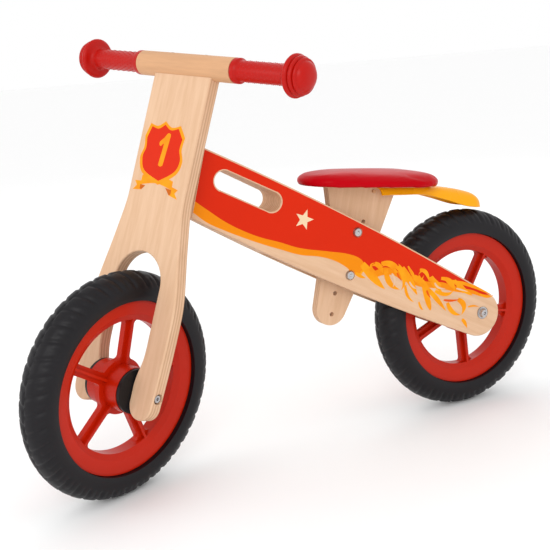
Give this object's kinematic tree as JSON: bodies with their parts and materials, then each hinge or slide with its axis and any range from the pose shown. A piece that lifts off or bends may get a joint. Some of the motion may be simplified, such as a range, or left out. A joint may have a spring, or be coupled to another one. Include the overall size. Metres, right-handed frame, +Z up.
{
  "type": "balance bike",
  "caption": "Child's wooden balance bike with splayed plywood side panels, turning fork and handlebar, padded seat and foam-tyred wheels.",
  "frame": {"origin": "on the ground in the frame's middle plane, half way between the wheel axles with the fork straight ahead", "axes": "+X ahead, +Y to the rider's left, +Z up"},
  "size_m": [0.8553, 0.3787, 0.5857],
  "materials": {
    "painted_wood": "red lacquer with orange flames over bare plywood, satin",
    "plywood": "clear-lacquered birch plywood",
    "pale_plywood": "clear-lacquered birch plywood",
    "beech": "clear-lacquered hardwood",
    "seat_vinyl": "smooth glossy vinyl",
    "yellow_plastic": "moulded, satin gloss",
    "grip_rubber": "soft moulded, with raised dots",
    "rim_plastic": "moulded, satin gloss",
    "black_plastic": "moulded, matt",
    "steel": "zinc-plated",
    "tyre": "solid foam with a moulded tread"
  },
  "bodies": {
    "frame": {"frame_panel_left": "painted_wood", "frame_panel_right": "painted_wood", "head_block": "plywood", "head_bushes": "black_plastic", "seat_post": "pale_plywood", "post_spacers": "beech", "seat_bolts": "steel", "seat_nuts": "steel", "seat_board": "pale_plywood", "seat_cushion": "seat_vinyl", "seat_screws": "steel", "tail_guard": "yellow_plastic", "guard_screws": "steel", "tail_pin": "beech", "rear_axle_bolt": "steel", "rear_axle_nut": "steel", "rear_axle_washers": "steel", "rear_axle_spacers": "black_plastic"},
    "fork": {"fork_board": "plywood", "hinge_block_upper": "plywood", "hinge_block_lower": "plywood", "hinge_screws": "steel", "steering_bolt": "steel", "steering_nut": "steel", "steering_washers": "steel", "handlebar": "beech", "handlebar_screws": "steel", "grip_left": "grip_rubber", "grip_right": "grip_rubber", "front_axle_bolt": "steel", "front_axle_nut": "steel", "front_axle_washers": "steel"},
    "front_wheel": {"front_rim": "rim_plastic", "front_tyre": "tyre", "front_hub_bushes": "black_plastic"},
    "rear_wheel": {"rear_rim": "rim_plastic", "rear_tyre": "tyre", "rear_hub_bushes": "black_plastic"}
  },
  "joints": [
    {"name": "steering", "type": "hinge", "parent": "frame", "child": "fork", "pos_m": [0.23686, 0, 0.13704], "axis": [-0.2756, 0, 0.9613], "range_deg": [-66, 24]},
    {"name": "front_wheel_spin", "type": "hinge", "parent": "fork", "child": "front_wheel", "pos_m": [0.27993, 0.0172, 0.14939], "axis": [-0.3445, 0.9336, -0.0988], "continuous": true},
    {"name": "rear_wheel_spin", "type": "hinge", "parent": "frame", "child": "rear_wheel", "pos_m": [-0.283, 0, 0.15], "axis": [0, 1, 0], "continuous": true}
  ]
}
